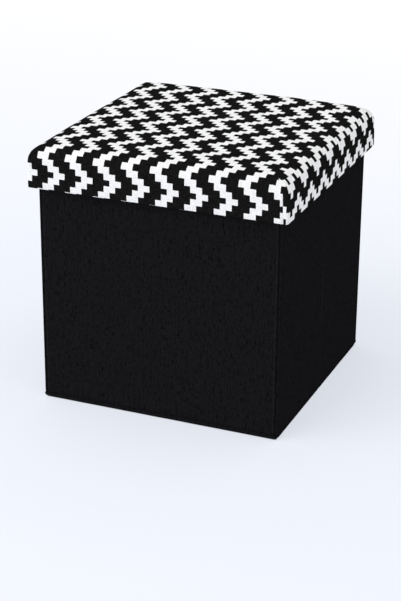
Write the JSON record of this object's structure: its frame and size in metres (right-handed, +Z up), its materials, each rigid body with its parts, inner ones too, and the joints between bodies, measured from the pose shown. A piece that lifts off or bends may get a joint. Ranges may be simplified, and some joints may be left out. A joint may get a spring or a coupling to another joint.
{
  "type": "folding storage ottoman",
  "caption": "Cube-shaped folding storage ottoman with cloth-hinged board walls, a hinged base flap and a lift-off padded lid in printed fabric.",
  "frame": {"origin": "on the floor, under the middle of the box", "axes": "+Z up, -Y towards the front wall, +X to the right seen from the front"},
  "size_m": [0.38, 0.38, 0.38],
  "materials": {
    "body_linen": "woven black linen-look cloth",
    "printed_linen": "black and white stepped zigzag print on linen-look cloth",
    "lining_cloth": "thin black non-woven cloth",
    "binding_tape": "black woven tape",
    "fibreboard": "raw fibreboard",
    "foam": "cream foam sheet",
    "staple_steel": "bright wire"
  },
  "bodies": {
    "back_wall": {"back_board": "fibreboard", "back_cover": "body_linen", "back_lining": "lining_cloth", "back_hem": "body_linen", "back_binding": "binding_tape", "wall_hinge_tape": "binding_tape"},
    "right_rear": {"right_rear_board": "fibreboard", "right_rear_cover": "body_linen", "right_rear_lining": "lining_cloth", "right_rear_hem": "body_linen", "right_rear_binding": "binding_tape"},
    "right_front": {"right_front_board": "fibreboard", "right_front_cover": "body_linen", "right_front_lining": "lining_cloth", "right_front_hem": "body_linen", "right_front_binding": "binding_tape"},
    "front_wall": {"front_board": "fibreboard", "front_cover": "body_linen", "front_lining": "lining_cloth", "front_hem": "body_linen", "front_binding": "binding_tape"},
    "left_rear": {"left_rear_board": "fibreboard", "left_rear_cover": "body_linen", "left_rear_lining": "lining_cloth", "left_rear_hem": "body_linen", "left_rear_binding": "binding_tape"},
    "left_front": {"left_front_board": "fibreboard", "left_front_cover": "body_linen", "left_front_lining": "lining_cloth", "left_front_hem": "body_linen", "left_front_binding": "binding_tape"},
    "base_flap": {"base_board": "fibreboard", "base_cover": "lining_cloth", "base_hinge_tape": "binding_tape", "pull_tab": "binding_tape"},
    "lid": {"lid_board": "fibreboard", "lid_front_rail": "fibreboard", "lid_back_rail": "fibreboard", "lid_left_rail": "fibreboard", "lid_right_rail": "fibreboard", "lid_foam": "foam", "lid_cover": "printed_linen", "lid_lining": "lining_cloth", "lid_staples": "staple_steel"}
  },
  "joints": [
    {"name": "side_fold", "type": "hinge", "parent": "back_wall", "child": "right_rear", "pos_m": [0.171, 0.1635, 0.175], "axis": [0, 0, -1], "range_deg": [0, 89], "deforming": ["front_hem", "right_front_hem", "right_rear_hem", "left_front_hem", "left_rear_hem"]},
    {"name": "right_crease", "type": "hinge", "parent": "right_rear", "child": "right_front", "pos_m": [0.1783, 0, 0.175], "axis": [0, 0, 1], "range_deg": [0, 178]},
    {"name": "front_right_corner", "type": "hinge", "parent": "right_front", "child": "front_wall", "pos_m": [0.171, -0.1635, 0.175], "axis": [0, 0, -1], "range_deg": [0, 89]},
    {"name": "front_left_corner", "type": "hinge", "parent": "front_wall", "child": "left_front", "pos_m": [-0.171, -0.1635, 0.175], "axis": [0, 0, -1], "range_deg": [0, 89]},
    {"name": "left_crease", "type": "hinge", "parent": "left_front", "child": "left_rear", "pos_m": [-0.1783, 0, 0.175], "axis": [0, 0, 1], "range_deg": [0, 178]},
    {"name": "base_flap_lift", "type": "hinge", "parent": "back_wall", "child": "base_flap", "pos_m": [0, 0.169, 0.0044], "axis": [-1, 0, 0], "range_deg": [0, 90]},
    {"name": "lid_lift", "type": "slide", "parent": "back_wall", "child": "lid", "axis": [0, 0, 1], "range_m": [0, 0.4]}
  ],
  "couplings": [
    {"joint": "right_crease", "follows": "side_fold", "ratio": 2},
    {"joint": "front_right_corner", "follows": "side_fold", "ratio": 1},
    {"joint": "front_left_corner", "follows": "side_fold", "ratio": 1},
    {"joint": "left_crease", "follows": "side_fold", "ratio": 2}
  ]
}
